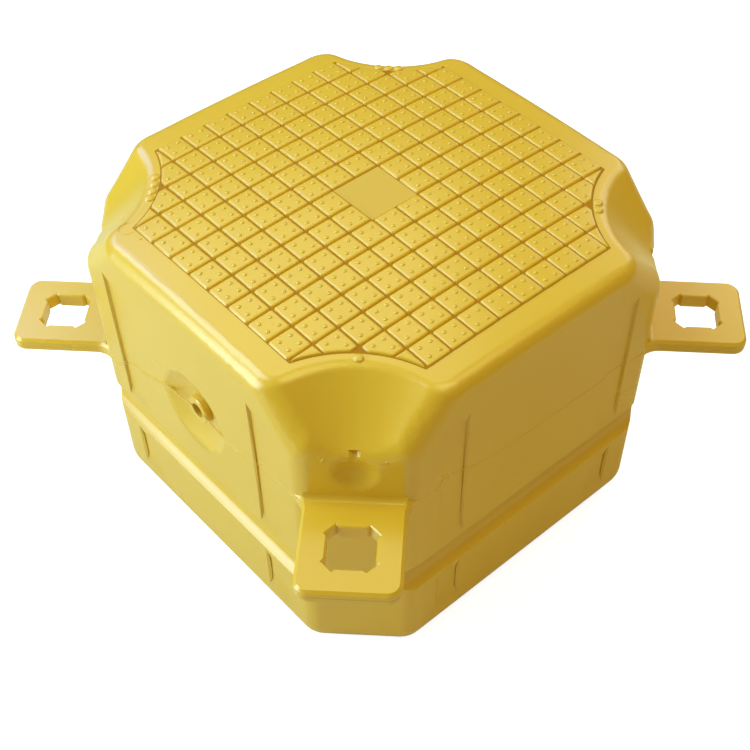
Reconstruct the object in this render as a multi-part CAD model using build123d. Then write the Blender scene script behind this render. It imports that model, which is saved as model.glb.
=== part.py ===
from build123d import *
import math
import os

# Modular pontoon cube: a closed blow-moulded float with four square pin lugs.
#
# The float is one moulded piece. Its deck is slightly crowned and carries a tread of square pads. Each
# corner is scooped out above a square lug. The four lugs sit at four levels, so that the lugs of
# neighbouring floats stack on one pin, and one to four dots beside each scoop give the level. Each side
# has a round groove and four shallow panels. The front has a boss in a round dish.
#
# Frame: millimetres, +Z up, origin at the middle of the underside. The front is -Y.

# Body
module = 500.0
side_gap = 1.3
height = 400.0
crown_radius = 4455.0
corner_distance = 297.0
corner_round = 28.0
bottom_round = 39.0
rim_round = 18.0
wall = 6.0
hollow_bevel = 0.5

# Scoop: an upright cone on the pin's axis
scoop_rim_radius = 118.0
scoop_rim_drop = 10.0
scoop_slope = 1.0
scoop_round = 28.0

# Keyhole pocket in each corner
pocket_width = 46.0
pocket_depth = 8.0
pocket_drop = 19.0
pocket_bevel = 3.0
slot_width = 12.0
slot_length = 13.0
slot_rise = 3.0

# Lugs
lug_top = 273.0
lug_step = 20.0
lug_thickness = 17.0
lug_width = 100.0
lug_reach = 51.0
lug_corner_round = 14.5
lug_root_round = 24.0
lug_edge = 3.0
lug_foot = 30.0
lug_sink = 0.3
lug_seat_round = 6.0
pin_hole_width = 52.0
pin_hole_clip = 10.0
pin_hole_bulge = 2.3
pin_hole_shoulder = 3.0
pin_hole_edge = 1.2

# Grooves
groove_height = 137.5
groove_width = 43.0
groove_depth = 11.2

# Panels
panel_spacing = 237.0
panel_width = 35.0
panel_depth = 3.0
panel_side_slope = 4.4
panel_end_slope = 12.5
upper_panel_bottom = 165.5
upper_panel_top = 347.0
lower_panel_bottom = 48.0
lower_panel_top = 111.0

# Boss and dish on the front
boss_height = 248.0
boss_diameter = 31.0
boss_bore = 17.0
boss_edge = 1.2
boss_bore_depth = 30.0
boss_setback = 4.5
dish_diameter = 102.0
dish_depth = 13.0
fin_thickness = 2.0
fin_reach = 49.0

# Tread
pad_pitch = 30.2
pad_count = 14
pad_size = 27.2
pad_height = 2.2
pad_bevel = 1.6
pad_least = 5.0
tread_clearance = 15.0

# Corner dots
dot_diameter = 9.0
dot_height = 2.0
dot_clearance = 8.5
dot_spacing = 11.3
dot_facets = 12
dot_taper = 12.0

node_name = "float_body"

# Worked out from the sizes above
half = module / 2 - side_gap
deck_height = height - pad_height
pin_distance = module / 2 * math.sqrt(2)
slip = 1.0
touch = 0.01
tread_clear_radius = scoop_rim_radius + tread_clearance
dot_radius = scoop_rim_radius + dot_clearance
scoop_rim_height = height - scoop_rim_drop


def crown(inset):
    """Ball whose top is the crowned deck."""
    return Pos(0, 0, deck_height - crown_radius) * Rot(90, 0, 0) * Sphere(crown_radius - inset)


def soften(form, edges, radius, inset):
    """Round the outside of the float, and bevel the hollow inside it to match."""
    if inset == 0:
        return fillet(edges, radius)
    return chamfer(edges, hollow_bevel * (radius - inset))


def body_block(inset):
    """Square block with flat corners, a crowned top and a rounded underside."""
    side = 2 * (half - inset)
    leg = (half * math.sqrt(2) - corner_distance) * math.sqrt(2) - inset * (2 - math.sqrt(2))
    outline = Rectangle(side, side)
    outline = chamfer(outline.vertices(), leg)
    if inset == 0:
        outline = fillet(outline.vertices(), corner_round)
    block = Pos(0, 0, inset) * extrude(outline, height) & crown(inset)
    underside = block.faces().sort_by(Axis.Z)[0]
    return soften(block, underside.edges(), bottom_round, inset)


def corner_turn(level):
    """Turn that brings what lies along +X to one corner: front, right, back, then left."""
    return Rot(0, 0, 90 * level - 45)


def scoop_cutter(level, inset):
    """Cone on the pin's axis that opens upward from the flat corner."""
    grow = inset * math.sqrt(1 + scoop_slope**2)
    fall = (scoop_rim_radius - slip) / scoop_slope
    rise = rim_round
    low_radius = slip + grow
    high_radius = scoop_rim_radius + grow + scoop_slope * rise
    cone = Cone(low_radius, high_radius, fall + rise, align=(Align.CENTER, Align.CENTER, Align.MIN))
    return corner_turn(level) * Pos(pin_distance, 0, scoop_rim_height - fall) * cone


def is_deck_edge(edge, inset):
    """True for an edge that lies on the crowned deck."""
    middle = edge @ 0.5
    reach = math.hypot(middle.X, middle.Y, middle.Z - deck_height + crown_radius)
    return abs(reach - crown_radius + inset) < touch


def groove_cutter(inset):
    """Level round bar that cuts the groove of the front side."""
    radius = (groove_width**2 / 4 + groove_depth**2) / (2 * groove_depth)
    bar = Rot(0, 90, 0) * Cylinder(radius + inset, module * 1.2)
    return Pos(0, -half - radius + groove_depth, groove_height) * bar


def dish_radius():
    return (dish_diameter**2 / 4 + dish_depth**2) / (2 * dish_depth)


def dish_cutter(inset):
    """Ball that cuts the round dish of the front side."""
    centre = -half - dish_radius() + dish_depth
    return Pos(0, centre, boss_height) * Sphere(dish_radius() + inset)


def hull(inset):
    """Main form of the float, or of the hollow inside it when the inset is the wall."""
    form = body_block(inset)
    for level in range(4):
        form = form - scoop_cutter(level, inset)
    scoops = form.faces().filter_by(GeomType.CONE).edges()
    form = soften(form, [e for e in scoops if not is_deck_edge(e, inset)], scoop_round, inset)
    deck = form.faces().sort_by(Axis.Z)[-1]
    form = soften(form, deck.edges(), rim_round, inset)
    for turn in range(4):
        form = form - Rot(0, 0, 90 * turn) * groove_cutter(inset)
    return form - dish_cutter(inset)


def panel_cutter(bottom, top):
    """Shallow pan with sloped sides and longer sloped ends, on the front side."""
    length = top - bottom
    out = slip / panel_depth
    mouth = Rectangle(panel_width + 2 * panel_side_slope * out, length + 2 * panel_end_slope * out)
    floor = Rectangle(panel_width - 2 * panel_side_slope, length - 2 * panel_end_slope)
    pan = loft([Pos(0, 0, slip) * mouth, Pos(0, 0, -panel_depth) * floor], ruled=True)
    return Pos(0, -half, (bottom + top) / 2) * Rot(90, 0, 0) * pan


def scoop_foot():
    """Height at which the scoop leaves the flat corner."""
    return scoop_rim_height - (scoop_rim_radius - pin_distance + corner_distance) / scoop_slope


def pocket_cutter(level):
    """Round dimple in the flat corner with a slot that runs up into the scoop."""
    radius = (pocket_width**2 / 4 + pocket_depth**2) / (2 * pocket_depth)
    ball = Pos(corner_distance + radius - pocket_depth, 0, scoop_foot() - pocket_drop) * Sphere(radius)
    lean = math.degrees(math.atan(scoop_slope))
    reach = pocket_drop + slot_length
    rod = Cylinder(slot_width / 2, reach, align=(Align.CENTER, Align.CENTER, Align.MIN))
    rod = Rot(0, -lean, 0) * Pos(0, 0, -pocket_drop) * rod
    rod = Pos(corner_distance + slot_rise, 0, scoop_foot()) * rod
    return corner_turn(level) * (ball + rod)


def pocket_backing(level):
    """Plug that keeps the hollow clear of the pocket and its slot."""
    back = pocket_depth + wall
    width = slot_width + 2 * wall
    lean = math.degrees(math.atan(scoop_slope))
    disc = Rot(0, 90, 0) * Cylinder(pocket_width / 2, 2 * back)
    disc = Pos(corner_distance, 0, scoop_foot() - pocket_drop) * disc
    bar = Box(width, width, slot_length + width, align=(Align.CENTER, Align.CENTER, Align.MIN))
    bar = Pos(corner_distance + slot_rise, 0, scoop_foot() - wall) * Rot(0, -lean, 0) * bar
    return corner_turn(level) * (disc + bar)


def pin_hole():
    """Square with clipped corners and sides that stand in between small shoulders."""
    reach = pin_hole_width / 2
    clip = reach - pin_hole_clip
    inner = (reach - pin_hole_bulge, clip - pin_hole_shoulder)
    side = Polyline((inner[0], -inner[1]), inner, (reach, clip), (clip, reach), (inner[1], inner[0]))
    return make_face(Wire([edge for turn in range(4) for edge in (Rot(0, 0, 90 * turn) * side).edges()]))


def lug_outline():
    """Square tongue whose root flares into the two side faces, along +X."""
    tip = pin_distance + lug_reach
    w = lug_width / 2
    root = (half - lug_sink) * math.sqrt(2) - w
    back = root - lug_foot
    corner_points = [(tip, w), (root, w), (back, w + lug_foot), (back - lug_foot, w)]
    mirrored = [(x, -y) for x, y in reversed(corner_points)]
    outline = make_face(Polyline(*corner_points, *mirrored, close=True))
    outline = fillet([v for v in outline.vertices() if v.X > tip - touch], lug_corner_round)
    roots = [v for v in outline.vertices() if abs(v.X - root) < touch]
    return fillet(roots, lug_root_round)


def lug_seat():
    """Strip that rounds the corner between the top of a lug and the flat corner of the float."""
    r = lug_seat_round
    back = -2 * slip
    middle = r - r / math.sqrt(2)
    arc = ThreePointArc((r, 0), (middle, middle), (0, r))
    rest = Polyline((0, r), (back, r), (back, -slip), (r, -slip), (r, 0))
    strip = Rot(90, 0, 0) * extrude(make_face([arc, rest]), lug_width / 2, both=True)
    w = lug_width / 2 + slip
    plan = Polyline((0, -w), (r, r - w), (r, w - r), (0, w), (back, w), (back, -w), close=True)
    return Pos(corner_distance, 0, lug_thickness) * (strip & extrude(make_face(plan), r, both=True))


def lug(level):
    """Plate that runs out past the pin, with the pin hole through it."""
    plate = extrude(lug_outline(), lug_thickness)
    rims = plate.faces().sort_by(Axis.Z)
    plate = chamfer(rims[0].edges() + rims[-1].edges(), lug_edge)
    plate = plate - Pos(pin_distance, 0, -slip) * extrude(pin_hole(), lug_thickness + 2 * slip)
    rims = plate.faces().sort_by(Axis.Z)
    hole_edges = [w.edges() for w in (*rims[0].inner_wires(), *rims[-1].inner_wires())]
    plate = chamfer(hole_edges[0] + hole_edges[1], pin_hole_edge) + lug_seat()
    return corner_turn(level) * Pos(0, 0, lug_top - level * lug_step - lug_thickness) * plate


def sink_pocket(form, level):
    """Cut one corner pocket, with a bevelled rim."""
    form = form - pocket_cutter(level)
    balls = form.faces().filter_by(GeomType.SPHERE)
    facing = (corner_turn(level) * Pos(1, 0, 0)).position
    ball = balls.sort_by(lambda face: face.center().dot(facing))[-1]
    return chamfer(ball.edges(), pocket_bevel)


def boss():
    """Short tube in the dish, closed at its back, with a thin fin on each side."""
    face = half - boss_setback
    back = half - boss_bore_depth - wall
    tube = Cylinder(boss_diameter / 2, face - back)
    tube = chamfer(tube.edges().sort_by(Axis.Z)[-1], boss_edge)
    tube = Pos(0, -(face + back) / 2, boss_height) * Rot(90, 0, 0) * tube
    floor = half - dish_depth + dish_radius() - math.sqrt(dish_radius() ** 2 - fin_reach**2)
    root = floor - wall / 2
    fin = make_face(Polyline((0, -face), (fin_reach, -floor), (fin_reach, -root), (0, -root), close=True))
    fin = Pos(0, 0, boss_height - fin_thickness / 2) * extrude(fin, fin_thickness)
    return tube, fin + mirror(fin, Plane.YZ)


def boss_bore_cutter():
    depth = boss_bore_depth + slip
    drill = Rot(90, 0, 0) * Cylinder(boss_bore / 2, depth)
    return Pos(0, -half + boss_bore_depth - depth / 2, boss_height) * drill


def pad_blank():
    """One pad: a square with bevelled sides."""
    slope = pad_bevel / pad_height
    side = pad_size + 2 * slope * slip
    pad = extrude(Rectangle(side, side), pad_height + slip, taper=math.degrees(math.atan(slope)))
    return Pos(0, 0, -slip) * pad


def on_deck(x, y):
    """Location on the deck whose Z is square to the crown."""
    drop = math.sqrt(crown_radius**2 - x**2 - y**2)
    normal = Vector(x, y, drop).normalized()
    across = Vector(normal.Z, 0, -normal.X).normalized()
    place = (x, y, deck_height - crown_radius + drop)
    return Location(Plane(origin=place, x_dir=across, z_dir=normal))


def pads():
    """Pads on a square grid, with the middle left plain and the corners cut back."""
    blank = pad_blank()
    spread = pad_bevel / pad_height * pad_size / 2
    middle = (pad_count - 1) / 2
    found = []
    for i in range(pad_count):
        for j in range(pad_count):
            if abs(i - middle) < 1 and abs(j - middle) < 1:
                continue
            x = (i - middle) * pad_pitch
            y = (j - middle) * pad_pitch
            dx = module / 2 - abs(x)
            dy = module / 2 - abs(y)
            near = math.hypot(dx - pad_size / 2, dy - pad_size / 2)
            far = math.hypot(dx + pad_size / 2, dy + pad_size / 2)
            if far < tread_clear_radius + pad_least:
                continue
            place = on_deck(x, y)
            pad = place * blank
            if near < tread_clear_radius:
                clear = Cone(tread_clear_radius - spread, tread_clear_radius + spread, pad_size)
                pin = (math.copysign(module / 2, x), math.copysign(module / 2, y), place.position.Z)
                pad = pad - Pos(*pin) * clear
            found += pad.solids()
    return found


def dots():
    """Round buttons on an arc round each pin, one more at each next corner."""
    found = []
    step = dot_spacing / dot_radius
    button = extrude(RegularPolygon(dot_diameter / 2, dot_facets), 2 * dot_height, taper=dot_taper)
    for level in range(4):
        for k in range(level + 1):
            angle = (k - level / 2) * step
            x = pin_distance - dot_radius * math.cos(angle)
            y = dot_radius * math.sin(angle)
            place = corner_turn(level) * on_deck(x, y)
            found.append(place * Pos(0, 0, -dot_height) * button)
    return found


def panels():
    """Four panels on each of the four sides."""
    spans = ((upper_panel_bottom, upper_panel_top), (lower_panel_bottom, lower_panel_top))
    found = []
    for turn in range(4):
        for side in (-1, 1):
            for bottom, top in spans:
                pan = Pos(side * panel_spacing / 2, 0, 0) * panel_cutter(bottom, top)
                found.append(Rot(0, 0, 90 * turn) * pan)
    return found


def float_body():
    tube, fins = boss()
    body = hull(0)
    for level in range(4):
        body = sink_pocket(body, level)
    body = body.cut(*panels()).fuse(*[lug(level) for level in range(4)], tube, fins)
    hollow = hull(wall).cut(tube, *[pocket_backing(level) for level in range(4)])
    body = body.cut(hollow, boss_bore_cutter())
    return body.fuse(*pads(), *dots())


if __name__ == "__main__":
    os.makedirs("parts", exist_ok=True)
    shape = float_body()
    export_step(shape, f"parts/{node_name}.step")
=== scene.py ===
"""Studio view of a yellow pontoon cube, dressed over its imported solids."""
from __future__ import annotations

import logging
import math
from dataclasses import dataclass, field
from enum import Enum

import bpy
import numpy as np
from mathutils import Matrix, Vector

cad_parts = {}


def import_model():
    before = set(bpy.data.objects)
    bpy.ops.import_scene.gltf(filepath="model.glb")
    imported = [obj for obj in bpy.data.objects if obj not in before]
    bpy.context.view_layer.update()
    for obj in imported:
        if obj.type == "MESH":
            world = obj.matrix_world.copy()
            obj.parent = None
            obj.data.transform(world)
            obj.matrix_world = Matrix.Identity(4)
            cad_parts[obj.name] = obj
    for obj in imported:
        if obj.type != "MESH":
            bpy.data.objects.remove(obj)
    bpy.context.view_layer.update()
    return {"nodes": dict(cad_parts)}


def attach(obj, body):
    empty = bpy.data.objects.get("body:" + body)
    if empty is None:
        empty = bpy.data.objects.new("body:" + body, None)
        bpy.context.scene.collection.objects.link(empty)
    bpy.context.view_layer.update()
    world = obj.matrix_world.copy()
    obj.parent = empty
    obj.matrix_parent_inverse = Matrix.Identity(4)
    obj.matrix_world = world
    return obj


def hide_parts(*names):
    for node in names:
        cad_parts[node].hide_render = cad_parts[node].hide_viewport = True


LOG = logging.getLogger(__name__)
NODE = "float_body"
RIDGE_SIDES = 6
RIDGE_SMOOTH = math.radians(80)
TINY = 1e-9

# Sockets of the Mix node that take and give colours.
MIX_FIRST, MIX_SECOND, MIX_RESULT = 6, 7, 2

Value = "Sock | float"
Colour = tuple[float, float, float]
MeshData = tuple[np.ndarray, list[np.ndarray]]


class Side(Enum):
    """The four sides of the float, as quarter turns from the front."""

    FRONT = 0
    RIGHT = 1
    BACK = 2
    LEFT = 3


@dataclass(frozen=True)
class Plastic:
    """A moulded plastic finish.

    Attributes:
        name: Name of the material.
        base: Linear colour of clean plastic, or of the painted shade between the pads.
        deep: Linear colour of slightly deeper patches.
        roughness: Mean roughness.
        gloss: Strength of the surface's own reflection.
        sheen: Weight of the soft gloss over the colour.
        sheen_roughness: Roughness of that gloss.
        ior: Index of refraction of both.
        cloud_scale: Deeper patches per metre.
        cloud_edge: Half the width of a patch's edge, in values of its noise.
        cloud_share: Greatest share of the deeper colour.
        cloud_rough: How far the patches change the roughness.
        wave_scale: Waves of the surface per metre.
        wave_height: Height of the waves in metres.
        wave_strength: Share of the waves that the shading shows.
    """

    name: str
    base: Colour
    deep: Colour
    roughness: float
    gloss: float
    sheen: float
    sheen_roughness: float = 0.28
    ior: float = 1.5
    cloud_scale: float = 9.0
    cloud_edge: float = 0.3
    cloud_share: float = 0.7
    cloud_rough: float = 0.08
    wave_scale: float = 7.0
    wave_height: float = 0.0006
    wave_strength: float = 0.6


@dataclass(frozen=True)
class Blank:
    """The square left without pads in the middle of the deck.

    Attributes:
        half: Half its width in metres.
        edge: Half the width of its soft edge in metres.
        colour: Linear colour of the plastic there.
    """

    half: float = 0.0300
    edge: float = 0.0004
    colour: Colour = (0.72, 0.50, 0.10)


YELLOW = Plastic("yellow_plastic", (0.80, 0.54, 0.042), (0.77, 0.51, 0.037), 0.29, 0.6, 1.0)
# Painted shade: a darker, deeper orange for the deck between the pads stands in for the shade in
# the gaps, with less gloss and no sheen.
GAP_PAINTED_SHADE = Plastic("painted_shade_gaps", (0.44, 0.21, 0.003), (0.41, 0.19, 0.003), 0.50, 0.2, 0.0)


class Sock:
    """One value in a material's node tree, with the usual operators."""

    def __init__(self, kit: NodeKit, link: bpy.types.NodeSocket | None) -> None:
        """Keep the tree's kit and the output socket, if the node has one."""
        self.kit = kit
        self.link = link

    def _math(self, operation: str, first: Value, second: Value) -> Sock:
        """Add one Math node and return its result."""
        return self.kit.node("ShaderNodeMath", {"operation": operation}, {0: first, 1: second})

    def __add__(self, other: Value) -> Sock:
        """Sum."""
        return self._math("ADD", self, other)

    def __radd__(self, other: Value) -> Sock:
        """Sum with the value on the left."""
        return self._math("ADD", other, self)

    def __sub__(self, other: Value) -> Sock:
        """Difference."""
        return self._math("SUBTRACT", self, other)

    def __rsub__(self, other: Value) -> Sock:
        """Difference from the value on the left."""
        return self._math("SUBTRACT", other, self)

    def __mul__(self, other: Value) -> Sock:
        """Product."""
        return self._math("MULTIPLY", self, other)

    def __rmul__(self, other: Value) -> Sock:
        """Product with the value on the left."""
        return self._math("MULTIPLY", other, self)

    def size(self) -> Sock:
        """Value without its sign."""
        return self._math("ABSOLUTE", self, 0.0)

    def greater(self, other: Value) -> Sock:
        """The greater of two values."""
        return self._math("MAXIMUM", self, other)

    def above(self, edge: float, soft: float) -> Sock:
        """Mask that rises from 0 to 1 over a soft edge.

        Args:
            edge: Middle of the rise.
            soft: Half its width.

        Returns:
            The mask.
        """
        settings = {"interpolation_type": "SMOOTHSTEP"}
        inputs = {"Value": self, "From Min": edge - soft, "From Max": edge + soft}
        return self.kit.node("ShaderNodeMapRange", settings, inputs)


class NodeKit:
    """Builds one material's node tree."""

    def __init__(self, name: str) -> None:
        """Start an empty material.

        Args:
            name: Name of the material.
        """
        self.material = bpy.data.materials.new(name)
        self.material.use_nodes = True
        self.tree = self.material.node_tree
        self.tree.nodes.clear()

    def node(
        self, kind: str, settings: dict | None = None, inputs: dict | None = None,
        out: int | str = 0,
    ) -> Sock:
        """Add one node.

        Args:
            kind: Type of the node.
            settings: Properties of the node, set first.
            inputs: Values or sockets by input name or number.
            out: Name or number of the output to return.

        Returns:
            The chosen output, empty for a node without outputs.
        """
        made = self.tree.nodes.new(kind)
        for key, value in (settings or {}).items():
            setattr(made, key, value)
        for key, value in (inputs or {}).items():
            if isinstance(value, Sock):
                self.tree.links.new(value.link, made.inputs[key])
            else:
                made.inputs[key].default_value = value
        return Sock(self, made.outputs[out]) if len(made.outputs) else Sock(self, None)

    def mix(self, factor: Value, first: Sock | tuple, second: Sock | tuple) -> Sock:
        """Mix two colours.

        Args:
            factor: Share of the second colour.
            first: Colour at 0.
            second: Colour at 1.

        Returns:
            The mixed colour.
        """
        ends = [c if isinstance(c, Sock) else (*c, 1.0) for c in (first, second)]
        inputs = {0: factor, MIX_FIRST: ends[0], MIX_SECOND: ends[1]}
        return self.node("ShaderNodeMix", {"data_type": "RGBA"}, inputs, MIX_RESULT)

    def noise(self, place: Sock, scale: float, detail: float) -> Sock:
        """Noise pattern on one set of coordinates.

        Args:
            place: Coordinates.
            scale: Cells per metre.
            detail: Octaves.

        Returns:
            The noise value.
        """
        inputs = {"Vector": place, "Scale": scale, "Detail": detail}
        return self.node("ShaderNodeTexNoise", {}, inputs)


def moulded_plastic(finish: Plastic, blank: Blank | None = None) -> bpy.types.Material:
    """Material of the blown shell, or of the painted shade on the deck between the pads.

    Args:
        finish: Colours, roughness and gloss.
        blank: The square in the middle of the deck, if its colour differs.

    Returns:
        The material.
    """
    kit = NodeKit(finish.name)
    place = kit.node("ShaderNodeTexCoord", out="Object")
    cloud = kit.noise(place, finish.cloud_scale, 1.0)
    wave = kit.noise(place, finish.wave_scale, 0.0)
    patches = cloud.above(0.5, finish.cloud_edge) * finish.cloud_share
    tone = kit.mix(patches, finish.base, finish.deep)
    if blank is not None:
        x, y = (
            kit.node("ShaderNodeSeparateXYZ", {}, {0: place}, axis).size() for axis in ("X", "Y")
        )
        # The middle square gets the plain colour of the plastic, not the painted shade of the gaps.
        tone = kit.mix(x.greater(y).above(blank.half, blank.edge), blank.colour, tone)
    rough = finish.roughness + (cloud - 0.5) * finish.cloud_rough
    height = wave * finish.wave_height
    relief = {"Height": height, "Distance": 1.0, "Strength": finish.wave_strength}
    ripple = kit.node("ShaderNodeBump", {}, relief)
    shader = kit.node(
        "ShaderNodeBsdfPrincipled", {}, {
            "Base Color": tone, "Roughness": rough, "Normal": ripple, "IOR": finish.ior,
            "Specular IOR Level": finish.gloss,
            "Coat Weight": finish.sheen, "Coat Roughness": finish.sheen_roughness,
            "Coat IOR": finish.ior,
        }
    )
    kit.node("ShaderNodeOutputMaterial", {}, {"Surface": shader})
    return kit.material


def from_millimetres(length: np.ndarray | float) -> np.ndarray | float:
    """Length in metres of a length in millimetres."""
    return length / 1000.0


def corner_turn(corner: np.ndarray | int) -> np.ndarray | float:
    """Direction of a corner in radians: 0 is the front one, then right, back and left."""
    return np.radians(90.0 * corner - 45.0)


def circle(count: int) -> np.ndarray:
    """Points (cos, sin) of evenly spaced angles, on a circle of radius one.

    Args:
        count: How many points.

    Returns:
        One row per point.
    """
    angle = np.arange(count) * 2 * math.pi / count
    return np.stack([np.cos(angle), np.sin(angle)], -1)


def turned(
    ahead: np.ndarray, aside: np.ndarray, angle: np.ndarray | float
) -> tuple[np.ndarray, np.ndarray]:
    """Places on the plan of points given ahead and aside of a direction.

    x is ahead * cos(angle) - aside * sin(angle), and y is ahead * sin(angle) + aside * cos(angle).

    Args:
        ahead: Distances along the direction in metres.
        aside: Distances to its left in metres.
        angle: The direction in radians.

    Returns:
        The x and y in metres.
    """
    cos, sin = np.cos(angle), np.sin(angle)
    return ahead * cos - aside * sin, ahead * sin + aside * cos


def mesh_piece(
    name: str, points: np.ndarray, faces: list[np.ndarray], smooth_angle: float
) -> bpy.types.Object:
    """Make a piece from arrays of points and faces.

    Args:
        name: Name of the piece.
        points: Corners in metres, one row each.
        faces: Arrays of faces, each with one row of corner numbers per face.
        smooth_angle: Steepest turn in radians that still shades smooth.

    Returns:
        The piece.
    """
    mesh = bpy.data.meshes.new(name)
    mesh.from_pydata(points.reshape(-1, 3), [], [row for block in faces for row in block.tolist()])
    mesh.validate()
    mesh.shade_smooth()
    mesh.set_sharp_from_angle(angle=smooth_angle)
    piece = bpy.data.objects.new(name, mesh)
    bpy.context.scene.collection.objects.link(piece)
    return piece


def ring_faces(copies: int, rings: int, points: int) -> np.ndarray:
    """Quads between the closed rings of many equal pieces.

    Corner (c, r, p) has the number (c * rings + r) * points + p, and each quad joins it to the
    next point round its ring and to the ring above.

    Args:
        copies: How many pieces.
        rings: Rings in each piece.
        points: Points in each ring.

    Returns:
        One row of four corner numbers per quad.
    """
    number = np.arange(copies * rings * points).reshape(copies, rings, points)
    here, above = number[:, :-1], number[:, 1:]
    quads = np.stack([here, np.roll(here, -1, 2), np.roll(above, -1, 2), above], -1)
    return quads.reshape(-1, 4)


def cap_faces(copies: int, rings: int, points: int) -> np.ndarray:
    """Triangles that fan each piece's last ring to that piece's centre point.

    The centre points are numbered after all the ring points.

    Args:
        copies: How many pieces.
        rings: Rings in each piece.
        points: Points in each ring.

    Returns:
        One row of three corner numbers per triangle.
    """
    number = np.arange(copies * rings * points).reshape(copies, rings, points)[:, -1]
    centre = copies * rings * points + np.arange(copies)[:, None]
    fan = np.stack([number, np.roll(number, -1, 1), np.broadcast_to(centre, number.shape)], -1)
    return fan.reshape(-1, 3)


@dataclass(frozen=True)
class Crown:
    """The slightly domed deck: a ball of large radius.

    Attributes:
        radius: Radius in metres.
        top: Height of the deck's middle in metres.
    """

    radius: float = 4.455
    top: float = 0.3978

    def place(self, x: np.ndarray, y: np.ndarray, rise: np.ndarray | float) -> np.ndarray:
        """Points at a given height over the deck, square to it.

        The point is the ball's centre plus (radius + rise) along the direction through (x, y).

        Args:
            x: Distance to the right in metres.
            y: Distance to the back in metres.
            rise: Height over the deck in metres.

        Returns:
            The points.
        """
        z = np.sqrt(self.radius**2 - x**2 - y**2)
        ray = np.stack([x, y, z], -1) * (1 + np.asarray(rise) / self.radius)[..., None]
        return ray + np.array([0.0, 0.0, self.top - self.radius])

    def height_over(self, points: np.ndarray) -> np.ndarray:
        """Height of points over the deck."""
        return np.linalg.norm(points - [0.0, 0.0, self.top - self.radius], axis=-1) - self.radius

    def domes(self, plan: np.ndarray, rise: np.ndarray, middle: np.ndarray, top: float) -> MeshData:
        """Small raised pieces on the deck, each a pile of rings closed by one point.

        Args:
            plan: Places (x, y) in metres, by piece, ring and point of the ring.
            rise: Height of each ring over the deck in metres.
            middle: Place (x, y) of each piece's closing point in metres.
            top: Height of the closing points over the deck in metres.

        Returns:
            Points and faces.
        """
        heights = np.broadcast_to(rise[:, None], plan.shape[:-1])
        points = self.place(plan[..., 0], plan[..., 1], heights).reshape(-1, 3)
        tips = self.place(middle[:, 0], middle[:, 1], top)
        size = plan.shape[:3]
        return np.concatenate([points, tips]), [ring_faces(*size), cap_faces(*size)]


@dataclass
class Shell:
    """The moulded float itself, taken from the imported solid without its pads.

    Attributes:
        crown: The deck.
        merge: Distance in metres under which corners are one.
        flat_angle: Turn in radians under which neighbouring faces are made one.
        smooth_angle: Steepest turn in radians that still shades smooth.
        pad_clear: Height over the deck in metres from which the solid's pads are left out.
        panel_middle: Distance of the panels from a side's middle in metres.
        panel_floor: Half the width of a panel's floor, and its distance from the float's middle,
            in metres.
        panel_shift: Distance in metres by which that floor is widened on each side.
        panel_top: Height in metres that the panels stay under.
        width_slack: How near in metres a corner is to the floor's half width.
        depth_slack: How near in metres a corner is to the floor's distance.
        face_weight: How much more large faces count in the shading, from 1 to 100.
    """

    crown: Crown = field(default_factory=Crown)
    merge: float = 0.00002
    flat_angle: float = math.radians(0.4)
    smooth_angle: float = math.radians(28)
    pad_clear: float = 0.0002
    panel_middle: float = 0.1185
    panel_floor: tuple[float, float] = (0.0131, 0.2457)
    panel_shift: float = 0.0027
    panel_top: float = 0.34
    width_slack: float = 0.0001
    depth_slack: float = 0.00015
    face_weight: int = 100

    def crisp(self, points: np.ndarray) -> np.ndarray:
        """Points with the upright sides of the panels made steeper.

        The corners of a panel's floor are known by their depth and by their distance from the
        panel's middle; each moves straight out along the side by the panel shift.

        Args:
            points: Corners of the solid in metres, one row each.

        Returns:
            The points, with those corners moved.
        """
        width, depth = self.panel_floor
        moved = points.copy()
        for axis in (0, 1):
            along, out = points[:, axis], np.abs(points[:, 1 - axis])
            away = np.abs(along) - self.panel_middle
            floor = np.abs(out - depth) < self.depth_slack
            floor &= np.abs(np.abs(away) - width) < self.width_slack
            floor &= points[:, 2] < self.panel_top
            moved[floor, axis] += (np.sign(along) * np.sign(away) * self.panel_shift)[floor]
        return moved

    def build(self, source: bpy.types.Object, material: bpy.types.Material) -> bpy.types.Object:
        """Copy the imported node, drop its pads, merge its triangles and shade it smooth.

        Args:
            source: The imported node's object.
            material: Finish of the shell.

        Returns:
            The dressed shell.
        """
        count = len(source.data.vertices)
        points = np.zeros(count * 3)
        source.data.vertices.foreach_get("co", points)
        points = points.reshape(-1, 3)
        corners = np.zeros(len(source.data.loops), int)
        source.data.loops.foreach_get("vertex_index", corners)
        faces = corners.reshape(-1, 3)
        kept = ~(self.crown.height_over(points) > self.pad_clear)[faces].any(1)
        mesh = bpy.data.meshes.new("shell")
        mesh.from_pydata(self.crisp(points), [], faces[kept].tolist())
        shell = bpy.data.objects.new("shell", mesh)
        bpy.context.scene.collection.objects.link(shell)
        weld = shell.modifiers.new("weld", "WELD")
        weld.merge_threshold = self.merge
        flat = shell.modifiers.new("flat", "DECIMATE")
        flat.decimate_type = "DISSOLVE"
        flat.angle_limit = self.flat_angle
        apply_modifiers(shell)
        shell.data.shade_smooth()
        shell.data.set_sharp_from_angle(angle=self.smooth_angle)
        shell.data.materials.append(material)
        even = shell.modifiers.new("even", "WEIGHTED_NORMAL")
        even.keep_sharp = True
        even.weight = self.face_weight
        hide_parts(NODE)
        return shell


def apply_modifiers(piece: bpy.types.Object) -> None:
    """Make a piece's modifiers part of its mesh.

    Args:
        piece: The piece.
    """
    graph = bpy.context.evaluated_depsgraph_get()
    made = bpy.data.meshes.new_from_object(piece.evaluated_get(graph))
    piece.modifiers.clear()
    piece.data = made


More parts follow.
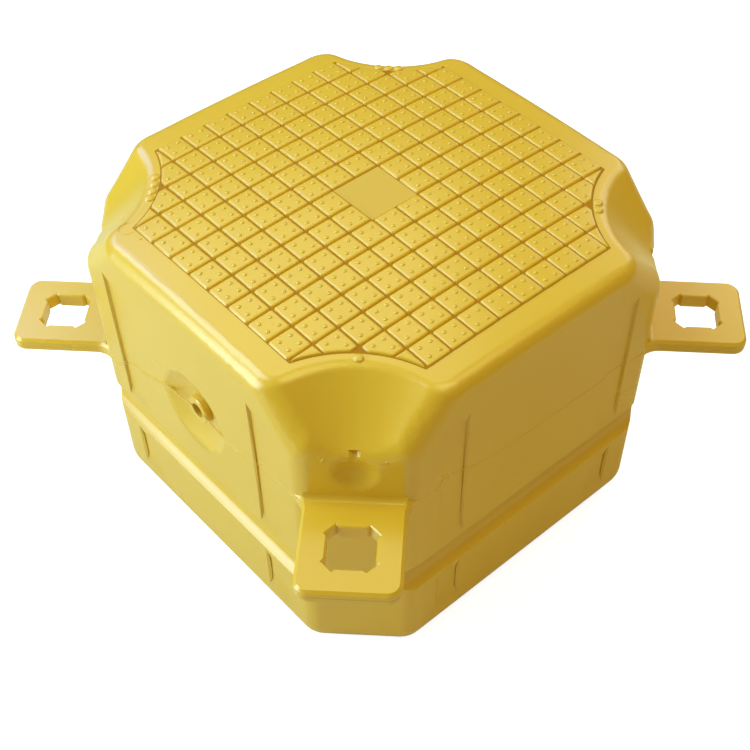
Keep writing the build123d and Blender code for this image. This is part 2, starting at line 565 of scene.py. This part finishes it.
@dataclass
class Tread:
    """Raised square pads with pips over the crowned deck.

    Attributes:
        crown: The deck.
        pitch: Distance between pads in metres.
        count: Pads in each row.
        size: Width of a pad's foot in metres.
        corner: Corner radius of a pad's foot in metres.
        corner_fall: How fast that radius falls as the outline moves in.
        corner_keep: Least share of it that an outline keeps.
        corner_points: Points on the arc of each corner.
        profile: A pad's edge as (distance in from the foot, height) in millimetres.
        pad_smooth: Steepest turn in radians that still shades smooth on a pad.
        pin: Distance of the pins from the middle along X and Y in metres.
        clear_radius: Radius round each pin that stays free of pads, in metres.
        least: Least reach of a cut pad beyond that radius, in metres.
        cut_points: Points on the outline of a cut pad.
        cut_inset: Distance of a cut pad's starting point from its far sides in metres.
        pip_offset: Distance of the pips from a pad's middle in metres.
        pip_radius: Radius of a pip in metres.
        pip_height: Height of a pip in metres.
        pip_clear: Least distance of a pip from the clear radius, in radii of a pip.
        pip_lifts: Angles of a pip's rings in degrees.
        pip_sides: Points in each of these rings.
        pip_smooth: Steepest turn in radians that still shades smooth on a pip.
        sheet_step: Step of the deck between the pads in metres.
        sheet_rise: Height of that deck over the solid's in metres.
        sheet_margin: Reach of that deck beyond the outer pads in metres.
        sheet_overlap: Reach of that deck into the clear radius in metres.
        sheet_smooth: Steepest turn in radians that still shades smooth on that deck.
    """

    crown: Crown = field(default_factory=Crown)
    pitch: float = 0.0302
    count: int = 14
    size: float = 0.0289
    corner: float = 0.0026
    corner_fall: float = 0.5
    corner_keep: float = 0.35
    corner_points: int = 6
    profile: tuple[tuple[float, float], ...] = (
        (0.0, -0.3), (0.3, 0.6), (0.75, 1.45), (1.3, 1.95), (2.0, 2.16), (3.0, 2.2)
    )
    pad_smooth: float = math.radians(50)
    pin: float = 0.25
    clear_radius: float = 0.133
    least: float = 0.0075
    cut_points: int = 64
    cut_inset: float = 0.0042
    pip_offset: float = 0.0065
    pip_radius: float = 0.0024
    pip_height: float = 0.0011
    pip_clear: float = 2.4
    pip_lifts: tuple[float, ...] = (-12.0, 12.0, 38.0, 64.0)
    pip_sides: int = 8
    pip_smooth: float = math.radians(80)
    sheet_step: float = 0.0042
    sheet_rise: float = 0.00012
    sheet_margin: float = 0.0006
    sheet_overlap: float = 0.0012
    sheet_smooth: float = math.radians(30)

    def centres(self) -> tuple[np.ndarray, np.ndarray]:
        """Middles of the whole pads and of the cut pads.

        The grid leaves out the four middle pads and those wholly within the clear radius of a pin.

        Returns:
            Two arrays of (x, y) in metres.
        """
        index = np.arange(self.count) - (self.count - 1) / 2
        x, y = (a.ravel() for a in np.meshgrid(index * self.pitch, index * self.pitch))
        half = self.size / 2
        near = np.hypot(self.pin - np.abs(x) - half, self.pin - np.abs(y) - half)
        far = np.hypot(self.pin - np.abs(x) + half, self.pin - np.abs(y) + half)
        shown = np.maximum(np.abs(x), np.abs(y)) > self.pitch
        shown &= far > self.clear_radius + self.least
        whole = near > self.clear_radius
        spots = np.stack([x, y], -1)
        return spots[shown & whole], spots[shown & ~whole]

    def whole_outline(self, inward: float) -> np.ndarray:
        """Rounded square, as points on the arc of each corner.

        Args:
            inward: Distance in metres that the outline is moved in.

        Returns:
            The points.
        """
        half = self.size / 2 - inward
        radius = max(self.corner - inward * self.corner_fall, self.corner * self.corner_keep)
        quarter = np.arange(4) * math.pi / 2
        middle = (half - radius) * np.array([[1, 1], [-1, 1], [-1, -1], [1, -1]])
        angle = quarter[:, None] + np.linspace(0, math.pi / 2, self.corner_points)
        arc = radius * np.stack([np.cos(angle), np.sin(angle)], -1)
        return (middle[:, None] + arc).reshape(-1, 2)

    def cut_outline(self, spots: np.ndarray, inward: float) -> np.ndarray:
        """Outline of each pad that an arc round a pin cuts back.

        From a point near the pad's corner farthest from the pin, each ray ends at the nearest of
        the square's sides and the circle round the pin.

        Args:
            spots: Middles of the cut pads.
            inward: Distance in metres that the outline is moved in.

        Returns:
            The points, one row of rays per pad.
        """
        half = self.size / 2 - inward
        pin = np.sign(spots) * self.pin - spots
        start = -np.sign(pin) * (self.size / 2 - self.cut_inset)
        ray = circle(self.cut_points)[None]
        gap = (half - np.sign(ray) * start[:, None]) / np.maximum(np.abs(ray), TINY)
        reach = gap.min(-1)
        away = start[:, None] - pin[:, None]
        along = (ray * away).sum(-1)
        radius = self.clear_radius + inward
        square = along**2 - (away**2).sum(-1) + radius**2
        hit = -along - np.sqrt(np.maximum(square, 0))
        hit = np.where((square > 0) & (hit > 0), hit, np.inf)
        return start[:, None] + ray * np.minimum(reach, hit)[..., None]

    def stack(self, spots: np.ndarray, outlines: list[np.ndarray]) -> MeshData:
        """Stack outlines into closed pads on the deck.

        Args:
            spots: Middles of the pads.
            outlines: One array of points per ring of the profile.

        Returns:
            Points and faces.
        """
        rings = np.stack([np.broadcast_to(o, (len(spots), *o.shape[-2:])) for o in outlines], 1)
        plan = rings + spots[:, None, None]
        rise = from_millimetres(np.array([height for _, height in self.profile]))
        return self.crown.domes(plan, rise, plan[:, -1].mean(1), rise[-1])

    def pads(self) -> bpy.types.Object:
        """Make all the pads as one piece.

        Returns:
            The piece.
        """
        whole, cut = self.centres()
        inward = [from_millimetres(distance) for distance, _ in self.profile]
        first, first_faces = self.stack(whole, [self.whole_outline(d) for d in inward])
        second, second_faces = self.stack(cut, [self.cut_outline(cut, d) for d in inward])
        faces = first_faces + [block + len(first) for block in second_faces]
        return mesh_piece("tread_pads", np.concatenate([first, second]), faces, self.pad_smooth)

    def pips(self) -> bpy.types.Object:
        """Make the four small domes on each pad.

        A pip's rings follow a circle that shrinks as cos(t) while its height grows as sin(t).

        Returns:
            The piece.
        """
        whole, cut = self.centres()
        corners = np.array([[1, 1], [-1, 1], [-1, -1], [1, -1]]) * self.pip_offset
        spots = (np.concatenate([whole, cut])[:, None] + corners).reshape(-1, 2)
        reach = np.hypot(*(self.pin - np.abs(spots)).T)
        spots = spots[reach > self.clear_radius + self.pip_clear * self.pip_radius]
        lift = np.radians(self.pip_lifts)
        ring = self.pip_radius * np.cos(lift)[:, None, None] * circle(self.pip_sides)
        base = from_millimetres(self.profile[-1][1])
        rise = base + self.pip_height * np.sin(lift)
        points, faces = self.crown.domes(
            spots[:, None, None] + ring, rise, spots, base + self.pip_height
        )
        return mesh_piece("tread_pips", points, faces, self.pip_smooth)

    def deck(self) -> bpy.types.Object:
        """Make the deck between the pads, a thin sheet that carries their painted shade.

        A square grid on the ball, less the squares wholly within an arc round each pin; corners
        left within the arc are moved straight out from the pin onto it.

        Returns:
            The piece.
        """
        half = (self.count - 1) / 2 * self.pitch + self.size / 2 + self.sheet_margin
        steps = int(round(2 * half / self.sheet_step))
        line = np.linspace(-half, half, steps + 1)
        x, y = np.meshgrid(line, line)
        pin = np.stack([np.copysign(self.pin, x), np.copysign(self.pin, y)], -1)
        away = np.stack([x, y], -1) - pin
        reach = np.hypot(away[..., 0], away[..., 1])
        edge = self.clear_radius - self.sheet_overlap
        inside = reach < edge
        plan = np.where(inside[..., None], pin + away * (edge / reach)[..., None], pin + away)
        number = np.arange(x.size).reshape(x.shape)
        around = [number[:-1, :-1], number[:-1, 1:], number[1:, 1:], number[1:, :-1]]
        quads = np.stack(around, -1).reshape(-1, 4)
        quads = quads[~inside.ravel()[quads].all(1)]
        points = self.crown.place(plan[..., 0], plan[..., 1], self.sheet_rise).reshape(-1, 3)
        used, renamed = np.unique(quads, return_inverse=True)
        faces = [renamed.reshape(quads.shape)]
        return mesh_piece("tread_deck", points[used], faces, self.sheet_smooth)


@dataclass
class CornerDots:
    """Low round buttons that count the corners.

    Attributes:
        crown: The deck.
        pin_distance: Distance of a pin from the middle in metres.
        arc: Radius of the row of dots round the pin in metres.
        spacing: Distance between dots in metres.
        radius: Radius of a dot in metres.
        height: Height of a dot in metres.
        flatness: Power of the cosine that a dot's rings shrink by.
        lifts: Angles of a dot's rings in degrees.
        sides: Points in each of these rings.
        smooth_angle: Steepest turn in radians that still shades smooth.
    """

    crown: Crown = field(default_factory=Crown)
    pin_distance: float = 0.25 * math.sqrt(2)
    arc: float = 0.1265
    spacing: float = 0.0113
    radius: float = 0.0052
    height: float = 0.0022
    flatness: float = 0.7
    lifts: tuple[float, ...] = (-40.0, 0.0, 25.0, 50.0, 70.0)
    sides: int = 24
    smooth_angle: float = math.radians(60)

    def build(self) -> bpy.types.Object:
        """Make one to four dots at the front, right, back and left corners.

        A dot's profile is a quarter of a flattened circle, swept round its middle: the height
        grows as sin(t), and the radius shrinks as cos(t) raised to the flatness.

        Returns:
            The piece.
        """
        corner = np.repeat(np.arange(4), np.arange(1, 5))
        rank = np.concatenate([np.arange(n + 1) - n / 2 for n in range(4)])
        angle = rank * self.spacing / self.arc
        ahead = self.pin_distance - self.arc * np.cos(angle)
        spots = np.stack(turned(ahead, self.arc * np.sin(angle), corner_turn(corner)), -1)
        lift = np.radians(self.lifts)
        width = self.radius * np.where(lift < 0, 1.0, np.cos(lift) ** self.flatness)
        plan = spots[:, None, None] + width[:, None, None] * circle(self.sides)
        points, faces = self.crown.domes(plan, self.height * np.sin(lift), spots, self.height)
        return mesh_piece("corner_dots", points, faces, self.smooth_angle)


def ridge(path: np.ndarray, radius: float, closed: bool) -> MeshData:
    """Thin round ridge along a path.

    Each path point carries a hexagon of the given radius, square to the path: its corners are the
    point plus radius times (cos of the angle along one normal, sin of it along the other).

    Args:
        path: Points in metres, one row each.
        radius: Radius of the ridge in metres.
        closed: Whether the path's end joins its start.

    Returns:
        Points and faces.
    """
    if closed:
        along = np.roll(path, -1, 0) - np.roll(path, 1, 0)
    else:
        along = np.gradient(path, axis=0)
    along = along / np.linalg.norm(along, axis=1, keepdims=True)
    across = np.cross(along, [0.0, 0.0, 1.0])
    across = across / np.linalg.norm(across, axis=1, keepdims=True)
    third = np.cross(across, along)
    turn = circle(RIDGE_SIDES)
    ring = across[:, None] * turn[:, :1] + third[:, None] * turn[:, 1:]
    points = (path[:, None] + radius * ring).reshape(-1, 3)
    if closed:
        number = np.arange(len(points)).reshape(-1, RIDGE_SIDES)
        above = np.roll(number, -1, 0)
        quads = np.stack([number, above, np.roll(above, -1, 1), np.roll(number, -1, 1)], -1)
        return points, [quads.reshape(-1, 4)]
    first = np.arange(RIDGE_SIDES)[None]
    last = first[:, ::-1] + len(points) - RIDGE_SIDES
    return points, [ring_faces(1, len(path), RIDGE_SIDES)[:, ::-1], first, last]


def gathered(name: str, parts: list[MeshData]) -> bpy.types.Object:
    """Make one piece from several ridges.

    Args:
        name: Name of the piece.
        parts: Points and faces of each.

    Returns:
        The piece.
    """
    shifts = np.cumsum([0] + [len(points) for points, _ in parts[:-1]])
    faces = [block + shift for (_, blocks), shift in zip(parts, shifts) for block in blocks]
    return mesh_piece(name, np.concatenate([points for points, _ in parts]), faces, RIDGE_SMOOTH)


@dataclass
class MouldSeam:
    """Thin line of flash where the halves of the mould met, round the sides and the lugs.

    Attributes:
        half: Half the width of the float in metres.
        flat: Distance along a side from its middle to where it starts to round off, in metres.
        corner_round: Radius of that round in metres.
        panel_middle: Distance of the panels from a side's middle in metres.
        panel_half: Half the width of a panel in metres.
        panel_slope: Width of a panel's sloped side in metres.
        panel_depth: Depth of a panel in metres.
        radius: Radius of the flash in metres.
        step: Distance between points along a side in metres.
        waver: Sines added to the height, as (metres high, radians per metre, start in radians).
        paths: Runs of the seam on each side, as (along, height) in millimetres.
        pin_distance: Distance of a pin from the middle in metres.
        lug_reach: Reach of a lug beyond its pin in metres.
        lug_half: Half the width of a lug in metres.
        lug_round: Radius of a lug's outer corners in metres.
        lug_root: Radius at a lug's root in metres.
        lug_middle: Height of the middle of the highest lug in metres.
        lug_step: Fall from each lug to the next in metres.
        lug_sink: Depth in metres under a side's surface at which a lug's flash starts.
        arc_points: Points on each arc of a lug's outline.
    """

    half: float = 0.2487
    flat: float = 0.1597
    corner_round: float = 0.028
    panel_middle: float = 0.1185
    panel_half: float = 0.0175
    panel_slope: float = 0.0044
    panel_depth: float = 0.003
    radius: float = 0.00045
    step: float = 0.0016
    waver: tuple[tuple[float, float, float], ...] = (
        (0.00035, 310, 0), (0.00025, 797, 1), (0.00007875, 523, 0)
    )
    paths: tuple[tuple[Side, tuple[tuple[float, float], ...]], ...] = (
        (Side.FRONT, (
            (-169, 203), (-155, 203), (-144, 207), (-126, 220), (-110, 226), (-79, 237), (-52, 247)
        )),
        (Side.FRONT, ((-141, 211), (-128, 222.5), (-109, 229.5), (-79, 240), (-54, 249))),
        (Side.FRONT, ((51, 248), (73, 250), (101, 256), (116, 261), (135, 266), (169, 266))),
        (Side.FRONT, ((52, 250.5), (73, 253), (101, 259), (112, 262))),
        (Side.RIGHT, (
            (-169, 268), (-146, 269), (-118, 268), (-101, 265), (-70, 256), (12, 251), (104, 250)
        )),
        (Side.RIGHT, ((104, 250), (133, 247), (169, 245))),
        (Side.BACK, ((-169, 243), (-120, 240), (-60, 235), (40, 231), (110, 229), (169, 225))),
        (Side.LEFT, ((-169, 225), (-120, 222), (-50, 216), (50, 211), (120, 208), (169, 205))),
    )
    pin_distance: float = 0.25 * math.sqrt(2)
    lug_reach: float = 0.051
    lug_half: float = 0.050
    lug_round: float = 0.0145
    lug_root: float = 0.024
    lug_middle: float = 0.2645
    lug_step: float = 0.020
    lug_sink: float = 0.0003
    arc_points: int = 9

    def wall(self, along: np.ndarray) -> np.ndarray:
        """Distance of a side's surface from the middle of the float.

        It is half the width, less the panel's depth where a panel lies, and less the fall of the
        corner's round, radius - sqrt(radius^2 - t^2), at t past the flat part.

        Args:
            along: Distances along the side from its middle in metres.

        Returns:
            The distances in metres.
        """
        into = self.panel_half - np.abs(np.abs(along) - self.panel_middle)
        panel = self.panel_depth * np.clip(into / self.panel_slope, 0, 1)
        past = np.clip(np.abs(along) - self.flat, 0, self.corner_round)
        return self.half - panel - self.corner_round + np.sqrt(self.corner_round**2 - past**2)

    def side_run(self, side: Side, stops: tuple[tuple[float, float], ...]) -> MeshData:
        """One run of flash on a side.

        The height follows the stops in straight steps, with a slight waver added as a sum of sines.

        Args:
            side: The side of the float.
            stops: Points of the run, as (along, height) in millimetres.

        Returns:
            Points and faces.
        """
        line = from_millimetres(np.array(stops))
        start, end = line[0, 0], line[-1, 0]
        along = np.linspace(start, end, int((end - start) / self.step))
        height = np.interp(along, line[:, 0], line[:, 1])
        for size, rate, phase in self.waver:
            height = height + size * np.sin(along * rate + phase)
        x, y = turned(along, -self.wall(along), math.pi / 2 * side.value)
        return ridge(np.stack([x, y, height], -1), self.radius, False)

    def lug_run(self, corner: int) -> MeshData:
        """Flash round one lug's edge at half its thickness.

        The outline is the root's hollow arc, the straight side, the outer corner's arc and their
        mirror image.

        Args:
            corner: The lug's corner: 0 is the front one, then right, back and left.

        Returns:
            Points and faces.
        """
        arc = np.linspace(math.radians(45), 0, self.arc_points)
        meeting = (self.half - self.lug_sink) * math.sqrt(2) - self.lug_half
        foot = meeting + self.lug_root * math.tan(math.pi / 8)
        width = self.lug_half + self.lug_root * (1 - np.cos(arc))
        root = np.stack([foot - self.lug_root * np.sin(arc), width], -1)
        tip = self.pin_distance + self.lug_reach - self.lug_round
        turn = np.linspace(0, math.pi / 2, self.arc_points)
        width = self.lug_half - self.lug_round * (1 - np.cos(turn))
        outer = np.stack([tip + self.lug_round * np.sin(turn), width], -1)
        one = np.concatenate([root, outer])
        outline = np.concatenate([one, one[::-1] * [1, -1]])
        x, y = turned(outline[:, 0], outline[:, 1], corner_turn(corner))
        height = np.full(len(x), self.lug_middle - corner * self.lug_step)
        return ridge(np.stack([x, y, height], -1), self.radius, False)

    def build(self) -> bpy.types.Object:
        """Make the flash as one piece.

        Returns:
            The piece.
        """
        runs = [self.side_run(side, stops) for side, stops in self.paths]
        return gathered("mould_seam", runs + [self.lug_run(corner) for corner in range(4)])


@dataclass
class EjectorMark:
    """Faint ring and nub on the deck's edge, taken for marks of the mould.

    Attributes:
        crown: The deck.
        middle: Middle of the ring in metres.
        radius: Radius of the ring in metres.
        line: Radius of its line in metres.
        nub: Middle of the nub in metres.
        nub_radius: Radius in metres of the round that the nub's line follows.
        nub_line: Radius of that line in metres.
        sink: Depth of a line in the deck, in radii of the line.
        points: Points along each line.
    """

    crown: Crown = field(default_factory=Crown)
    middle: tuple[float, float] = (-0.127, -0.216)
    radius: float = 0.0085
    line: float = 0.0003
    nub: tuple[float, float] = (-0.105, -0.215)
    nub_radius: float = 0.0009
    nub_line: float = 0.0009
    sink: float = 0.2
    points: int = 48

    def build(self) -> bpy.types.Object:
        """Make the ring and the nub as two thin closed ridges on the deck.

        Returns:
            The piece.
        """
        ring = (self.middle, self.radius, self.line)
        nub = (self.nub, self.nub_radius, self.nub_line)
        rounds = []
        for middle, radius, line in (ring, nub):
            x, y = (np.array(middle) + radius * circle(self.points)).T
            rounds.append(ridge(self.crown.place(x, y, -line * self.sink), line, True))
        return gathered("ejector_mark", rounds)


@dataclass
class PocketNicks:
    """Two tiny raised dashes beside the pocket of the front corner.

    Attributes:
        radius: Radius of a dash in metres.
        paths: Points of each dash in millimetres, as (across the corner, out from the middle,
            height).
    """

    radius: float = 0.0005
    paths: tuple[tuple[tuple[float, float, float], ...], ...] = (
        ((-31.2, 296.8, 325.8), (-29.5, 296.4, 328.0), (-27.9, 295.8, 330.0)),
        ((30.6, 295.9, 329.8), (28.6, 296.4, 328.2), (29.9, 296.8, 326.2)),
    )

    def build(self) -> bpy.types.Object:
        """Make both dashes as one piece; the corner looks along (+X, -Y).

        Returns:
            The piece.
        """
        parts = []
        for stops in self.paths:
            across, out, height = from_millimetres(np.array(stops)).T
            x, y = turned(out, across, corner_turn(0))
            parts.append(ridge(np.stack([x, y, height], -1), self.radius, False))
        return gathered("pocket_nicks", parts)


@dataclass
class Camera:
    """Camera at the photograph's place.

    Attributes:
        place: Position in metres.
        azimuth: Turn from the front side in degrees.
        elevation: Height over the horizon in degrees.
        roll: Turn round the line of sight in degrees.
        lens: Focal length in millimetres.
        frame_width: Width of the frame in millimetres.
        shift: Shift of the frame to the right and up, in frame widths.
    """

    place: tuple[float, float, float] = (0.7707, -0.6623, 1.2107)
    azimuth: float = 46.31
    elevation: float = 51.52
    roll: float = 1.54
    lens: float = 59.93
    frame_width: float = 36.0
    shift: tuple[float, float] = (-0.0601, 0.1375)

    def build(self) -> bpy.types.Object:
        """Make the camera and set it as the scene's.

        Returns:
            The camera.
        """
        data = bpy.data.cameras.new("camera")
        data.lens = self.lens
        data.sensor_width = self.frame_width
        data.shift_x, data.shift_y = self.shift
        camera = bpy.data.objects.new("camera", data)
        bpy.context.scene.collection.objects.link(camera)
        az, el, roll = (math.radians(a) for a in (self.azimuth, self.elevation, self.roll))
        ahead = Vector((-math.sin(az) * math.cos(el), math.cos(az) * math.cos(el), -math.sin(el)))
        side = Vector((math.cos(az), math.sin(az), 0))
        top = side.cross(ahead)
        right = math.cos(roll) * side + math.sin(roll) * top
        up = math.cos(roll) * top - math.sin(roll) * side
        turn = Matrix((right, up, -ahead)).transposed()
        camera.matrix_world = Matrix.Translation(self.place) @ turn.to_4x4()
        bpy.context.scene.camera = camera
        return camera


@dataclass(frozen=True)
class Lamp:
    """One soft lamp.

    Attributes:
        name: Name of the lamp.
        toward: Direction from the float to the lamp.
        distance: Distance in metres.
        size: Width and height of the lamp in metres.
        power: Power in watts.
        colour: Colour of the light.
    """

    name: str
    toward: tuple[float, float, float]
    distance: float
    size: tuple[float, float]
    power: float
    colour: Colour

    def build(self, aim: Vector) -> bpy.types.Object:
        """Place the lamp and turn it to the aim.

        Args:
            aim: Point that the lamp looks at.

        Returns:
            The lamp.
        """
        data = bpy.data.lights.new(self.name, "AREA")
        data.shape = "RECTANGLE"
        data.size, data.size_y = self.size
        data.energy = self.power
        data.color = self.colour
        lamp = bpy.data.objects.new(self.name, data)
        bpy.context.scene.collection.objects.link(lamp)
        lamp.location = aim + Vector(self.toward).normalized() * self.distance
        lamp.rotation_euler = (aim - lamp.location).to_track_quat("-Z", "Y").to_euler()
        return lamp


@dataclass
class Studio:
    """Floor, surroundings and lamps.

    Attributes:
        lamps: The lamps.
        aim: Point that the lamps look at.
        fill: Colour of the light from all round.
        fill_strength: Its strength.
        floor_size: Side of the floor in metres.
        paper: Colour of the floor that the camera sees.
        glow: Colour of the glow that is added to it.
        floor_glow: Strength of that glow.
        bounce: Colour of the floor that lights the float.
    """

    lamps: tuple[Lamp, ...] = (
        Lamp("key_low", (-0.40, -0.89, 0.22), 2.4, (1.2, 1.8), 36.0, (0.75, 0.96, 0.96)),
        Lamp("key_high", (-0.47, -0.40, 0.79), 2.4, (1.4, 1.2), 20.0, (0.68, 0.98, 1.0)),
        Lamp("window", (-0.80, -0.11, 0.59), 2.4, (1.2, 1.2), 15.0, (0.25, 0.40, 1.0)),
        Lamp("top", (0.28, 0.10, 1.0), 2.4, (1.4, 1.4), 15.0, (0.90, 1.0, 0.38)),
        Lamp("left_back", (-0.50, 0.29, 0.82), 2.4, (1.2, 1.2), 6.0, (0.92, 1.0, 0.70)),
        Lamp("warm_side", (0.55, 0.35, 1.00), 2.4, (1.2, 1.2), 5.0, (1.0, 0.55, 0.22)),
        Lamp("back", (-0.15, 0.90, 0.50), 2.4, (1.2, 1.2), 6.5, (0.92, 0.94, 0.88)),
    )
    aim: tuple[float, float, float] = (0.0, 0.0, 0.25)
    fill: Colour = (1.0, 0.67, 0.26)
    fill_strength: float = 0.28
    floor_size: float = 14.0
    paper: Colour = (0.72, 0.80, 0.92)
    glow: Colour = (0.86, 0.92, 1.0)
    floor_glow: float = 0.86
    bounce: Colour = (0.80, 0.74, 0.50)

    def build(self) -> None:
        """Make the world, the floor and the lamps."""
        self.surroundings()
        self.floor()
        for lamp in self.lamps:
            lamp.build(Vector(self.aim))

    def surroundings(self) -> None:
        """World that is white to the camera and a soft fill for the rest."""
        world = bpy.data.worlds.new("studio")
        bpy.context.scene.world = world
        world.use_nodes = True
        tree = world.node_tree
        tree.nodes.clear()
        path = tree.nodes.new("ShaderNodeLightPath")
        fill = tree.nodes.new("ShaderNodeBackground")
        fill.inputs["Color"].default_value = (*self.fill, 1.0)
        fill.inputs["Strength"].default_value = self.fill_strength
        white = tree.nodes.new("ShaderNodeBackground")
        white.inputs["Color"].default_value = (1.0, 1.0, 1.0, 1.0)
        seen = tree.nodes.new("ShaderNodeMixShader")
        out = tree.nodes.new("ShaderNodeOutputWorld")
        tree.links.new(path.outputs["Is Camera Ray"], seen.inputs[0])
        tree.links.new(fill.outputs[0], seen.inputs[1])
        tree.links.new(white.outputs[0], seen.inputs[2])
        tree.links.new(seen.outputs[0], out.inputs[0])

    def floor(self) -> None:
        """Plain floor under the float, pale to the camera and warm in the light that it returns."""
        half = self.floor_size / 2
        mesh = bpy.data.meshes.new("floor")
        corners = [(-half, -half, 0), (half, -half, 0), (half, half, 0), (-half, half, 0)]
        mesh.from_pydata(corners, [], [(0, 1, 2, 3)])
        floor = bpy.data.objects.new("floor", mesh)
        bpy.context.scene.collection.objects.link(floor)
        kit = NodeKit("floor_white")
        paper = kit.node("ShaderNodeBsdfDiffuse", {}, {"Color": (*self.paper, 1.0)})
        bounce = kit.node("ShaderNodeBsdfDiffuse", {}, {"Color": (*self.bounce, 1.0)})
        shine = {"Color": (*self.glow, 1.0), "Strength": self.floor_glow}
        glow = kit.node("ShaderNodeEmission", {}, shine)
        both = kit.node("ShaderNodeAddShader", {}, {0: paper, 1: glow})
        camera = kit.node("ShaderNodeLightPath", out="Is Camera Ray")
        shader = kit.node("ShaderNodeMixShader", {}, {0: camera, 1: bounce, 2: both})
        kit.node("ShaderNodeOutputMaterial", {}, {"Surface": shader})
        mesh.materials.append(kit.material)


def main() -> None:
    """Build the studio and dress the float."""
    logging.basicConfig(level=logging.INFO, format="%(message)s")
    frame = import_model()
    bpy.context.scene.view_settings.view_transform = "Standard"
    Camera().build()
    Studio().build()
    plastic = moulded_plastic(YELLOW)
    painted_gap_shade = moulded_plastic(GAP_PAINTED_SHADE, Blank())
    tread = Tread()
    trim = (CornerDots(), MouldSeam(), EjectorMark(), PocketNicks())
    added = [tread.deck(), tread.pads(), tread.pips(), *(part.build() for part in trim)]
    # The deck between the pads carries the painted shade; the other pieces get the plain plastic.
    for piece in added:
        piece.data.materials.append(painted_gap_shade if piece.name == "tread_deck" else plastic)
    for piece in [Shell().build(frame["nodes"][NODE], plastic), *added]:
        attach(piece, "root")
        LOG.info("%s: %d faces", piece.name, len(piece.data.polygons))


if __name__ == "__main__":
    main()
